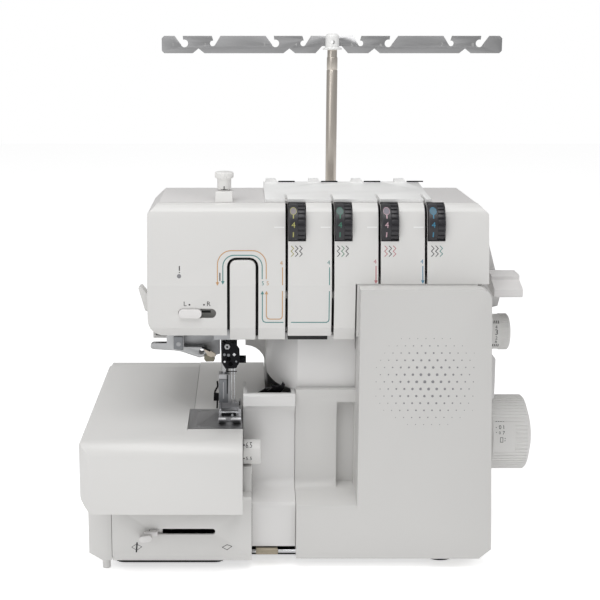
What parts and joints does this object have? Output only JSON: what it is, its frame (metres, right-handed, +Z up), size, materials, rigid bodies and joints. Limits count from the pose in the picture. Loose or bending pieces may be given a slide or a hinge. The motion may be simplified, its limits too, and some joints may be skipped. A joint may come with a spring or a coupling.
{
  "type": "serger overlock machine",
  "caption": "Household overlock machine: free arm with extension table, dials on a sloped head, opening front cover, handwheel, cone stand and a telescopic thread guide",
  "frame": {"origin": "on the table top it stands on, under the middle of the whole machine", "axes": "+X to the operator's right, +Y to the back of the machine, +Z up"},
  "size_m": [0.419, 0.37, 0.482],
  "materials": {
    "shells": "semi-gloss light grey moulding",
    "grey_top": "fine satin light grey moulding",
    "white_trim": "semi-gloss off-white moulding",
    "black_plastic": "matt black moulding",
    "rubber": "matt black rubber",
    "dial": "satin charcoal moulding",
    "steel": "bright turned steel",
    "black_steel": "black oxide steel",
    "frame_casting": "as-cast aluminium",
    "mast_metal": "satin champagne lacquer",
    "bracket_paint": "satin beige lacquer",
    "pulley_brass": "turned brass",
    "lens": "frosted warm white"
  },
  "bodies": {
    "machine": {"base_pan": "black_plastic", "rubber_feet": "rubber", "base_housing": "shells", "bed_cover": "shells", "needle_plate": "steel", "column_housing": "shells", "face_cover": "shells", "thread_tongue": "shells", "channel_liner": "black_plastic", "top_cover": "grey_top", "rear_cover": "shells", "side_cover": "shells", "looper_side_cover": "shells", "thread_guide_plate": "white_trim", "pretension_springs": "black_steel", "thread_cutter": "white_trim", "cast_frame": "frame_casting", "motor": "black_plastic", "drive_belt": "rubber", "power_inlet": "black_plastic", "air_pump": "frame_casting", "tension_discs": "steel", "lower_knife": "steel", "spool_stand": "shells", "spool_pins": "steel", "cone_holders": "shells", "mast_base_tube": "mast_metal", "hinge_brackets": "bracket_paint", "case_screws": "steel", "presser_spring": "steel", "lamp_lens": "lens"},
    "cover_slide": {"hinge_rod": "steel"},
    "front_cover": {"front_cover": "shells"},
    "extension_table": {"extension_table": "shells"},
    "main_drive": {"main_shaft": "steel", "handwheel": "shells"},
    "motor_rotor": {"motor_pulley": "pulley_brass"},
    "needle_carrier": {"needle_bar": "steel", "needle_clamp": "black_steel", "needles": "steel"},
    "upper_looper": {"upper_looper": "black_steel"},
    "lower_looper": {"lower_looper": "steel"},
    "feed_dogs": {"feed_dogs": "steel"},
    "presser_lifter": {"presser_lifter": "steel"},
    "presser": {"presser_bar": "steel", "presser_foot": "steel"},
    "pressure_screw": {"pressure_screw": "white_trim"},
    "tension_dial_1": {"tension_dial_1": "dial"},
    "tension_dial_2": {"tension_dial_2": "dial"},
    "tension_dial_3": {"tension_dial_3": "dial"},
    "tension_dial_4": {"tension_dial_4": "dial"},
    "stitch_length_dial": {"stitch_length_dial": "white_trim"},
    "cutting_width_dial": {"cutting_width_dial": "white_trim"},
    "pump_lever": {"pump_lever": "white_trim"},
    "knife_lever": {"knife_lever": "white_trim"},
    "needle_selector": {"needle_selector": "white_trim"},
    "mast_tube": {"mast_tube": "mast_metal"},
    "guide_head": {"guide_hub": "white_trim", "guide_bar": "steel"},
    "power_rocker": {"power_rocker": "black_plastic"}
  },
  "joints": [
    {"name": "cover_shift", "type": "slide", "parent": "machine", "child": "cover_slide", "axis": [1, 0, 0], "range_m": [0, 0.008]},
    {"name": "cover_hinge", "type": "hinge", "parent": "cover_slide", "child": "front_cover", "pos_m": [0.055, -0.134, 0.0145], "axis": [1, 0, 0], "range_deg": [0, 75]},
    {"name": "table_slide", "type": "slide", "parent": "machine", "child": "extension_table", "axis": [-1, 0, 0], "range_m": [0, 0.15]},
    {"name": "main_drive_spin", "type": "hinge", "parent": "machine", "child": "main_drive", "pos_m": [0.1, -0.06, 0.104], "axis": [1, 0, 0], "continuous": true},
    {"name": "motor_spin", "type": "hinge", "parent": "machine", "child": "motor_rotor", "pos_m": [0.1, 0.032, 0.059], "axis": [1, 0, 0], "continuous": true},
    {"name": "needle_stroke", "type": "slide", "parent": "machine", "child": "needle_carrier", "axis": [0, 0, -1], "range_m": [0, 0.026]},
    {"name": "upper_looper_swing", "type": "hinge", "parent": "machine", "child": "upper_looper", "pos_m": [-0.0325, -0.08, 0.1], "axis": [0, 1, 0], "range_deg": [0, 6.5]},
    {"name": "lower_looper_swing", "type": "hinge", "parent": "machine", "child": "lower_looper", "pos_m": [-0.0405, -0.085, 0.062], "axis": [0, 1, 0], "range_deg": [-12, 0]},
    {"name": "feed_stroke", "type": "slide", "parent": "machine", "child": "feed_dogs", "axis": [0, 1, 0], "range_m": [0, 0.0034]},
    {"name": "presser_lift", "type": "hinge", "parent": "machine", "child": "presser_lifter", "pos_m": [-0.105, -0.08, 0.19], "axis": [0, 1, 0], "range_deg": [0, 12]},
    {"name": "presser_rise", "type": "slide", "parent": "machine", "child": "presser", "axis": [0, 0, 1], "range_m": [0, 0.006]},
    {"name": "pressure_turn", "type": "hinge", "parent": "machine", "child": "pressure_screw", "pos_m": [-0.0835, -0.086, 0.345], "axis": [0, 0, 1], "range_deg": [-360, 360]},
    {"name": "tension_1_turn", "type": "hinge", "parent": "machine", "child": "tension_dial_1", "pos_m": [-0.0181, -0.103, 0.3135], "axis": [1, 0, 0], "range_deg": [-133, 167]},
    {"name": "tension_2_turn", "type": "hinge", "parent": "machine", "child": "tension_dial_2", "pos_m": [0.02329, -0.103, 0.3135], "axis": [1, 0, 0], "range_deg": [-133, 167]},
    {"name": "tension_3_turn", "type": "hinge", "parent": "machine", "child": "tension_dial_3", "pos_m": [0.06468, -0.103, 0.3135], "axis": [1, 0, 0], "range_deg": [-133, 167]},
    {"name": "tension_4_turn", "type": "hinge", "parent": "machine", "child": "tension_dial_4", "pos_m": [0.10607, -0.103, 0.3135], "axis": [1, 0, 0], "range_deg": [-133, 167]},
    {"name": "stitch_length_turn", "type": "hinge", "parent": "machine", "child": "stitch_length_dial", "pos_m": [0.174, -0.075, 0.207], "axis": [1, 0, 0], "range_deg": [-150, 150]},
    {"name": "cutting_width_turn", "type": "hinge", "parent": "machine", "child": "cutting_width_dial", "pos_m": [-0.058, -0.124, 0.1065], "axis": [1, 0, 0], "range_deg": [-120, 120]},
    {"name": "pump_press", "type": "hinge", "parent": "machine", "child": "pump_lever", "pos_m": [0.184, -0.012, 0.246], "axis": [1, 0, 0], "range_deg": [0, 12], "stiffness_Nm_per_rad": 0.5, "springref_deg": -9.74},
    {"name": "knife_shift", "type": "slide", "parent": "machine", "child": "knife_lever", "axis": [1, 0, 0], "range_m": [0, 0.048]},
    {"name": "needle_thread_select", "type": "slide", "parent": "machine", "child": "needle_selector", "axis": [1, 0, 0], "range_m": [0, 0.0106]},
    {"name": "mast_slide", "type": "slide", "parent": "machine", "child": "mast_tube", "axis": [0, 0, -1], "range_m": [0, 0.085]},
    {"name": "guide_swivel", "type": "hinge", "parent": "mast_tube", "child": "guide_head", "pos_m": [0.024, 0.06, 0.471], "axis": [0, 0, 1], "range_deg": [-90, 90]},
    {"name": "power_rock", "type": "hinge", "parent": "machine", "child": "power_rocker", "pos_m": [0.158, 0.05, 0.043], "axis": [0, 1, 0], "range_deg": [-10, 10]}
  ],
  "couplings": [
    {"joint": "motor_spin", "follows": "main_drive_spin", "ratio": 3.8571},
    {"joint": "upper_looper_swing", "follows": "needle_stroke", "rad_per_m": 4.3298},
    {"joint": "lower_looper_swing", "follows": "needle_stroke", "rad_per_m": -7.9882},
    {"joint": "feed_stroke", "follows": "needle_stroke", "ratio": 0.13076},
    {"joint": "presser_lift", "follows": "presser_rise", "rad_per_m": 34.848}
  ]
}
